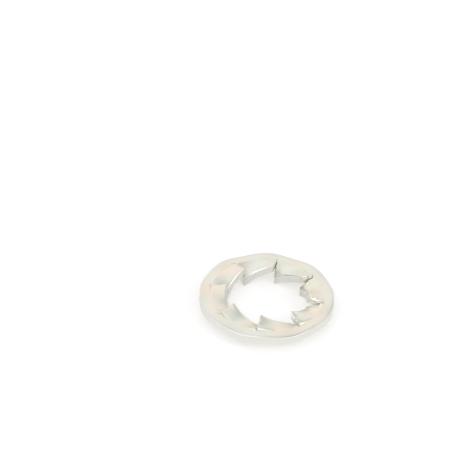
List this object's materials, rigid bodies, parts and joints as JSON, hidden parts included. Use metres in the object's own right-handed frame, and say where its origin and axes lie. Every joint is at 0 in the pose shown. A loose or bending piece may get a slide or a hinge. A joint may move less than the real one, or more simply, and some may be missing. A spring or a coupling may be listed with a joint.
{
  "type": "toothed lock washer",
  "caption": "Round flat ring with slits cut outwards from its bore, leaving teeth that are twisted so that one corner of each stands up and the other down; it locks a nut or screw head.",
  "frame": {"origin": "on the bore's axis, in the plane of the eight lowest tooth corners, on which the washer lies", "axes": "+Z is the bore's axis, towards the side drawn in by the punch, and +X runs along one tooth's mid-line"},
  "size_m": [0.011, 0.011, 0.002],
  "materials": {
    "zinc_plated_steel": "zinc plated and thinly passivated, with a faint straw and pink tint, and brighter worn edges"
  },
  "bodies": {
    "root": {"lock_washer": "zinc_plated_steel"}
  },
  "joints": []
}
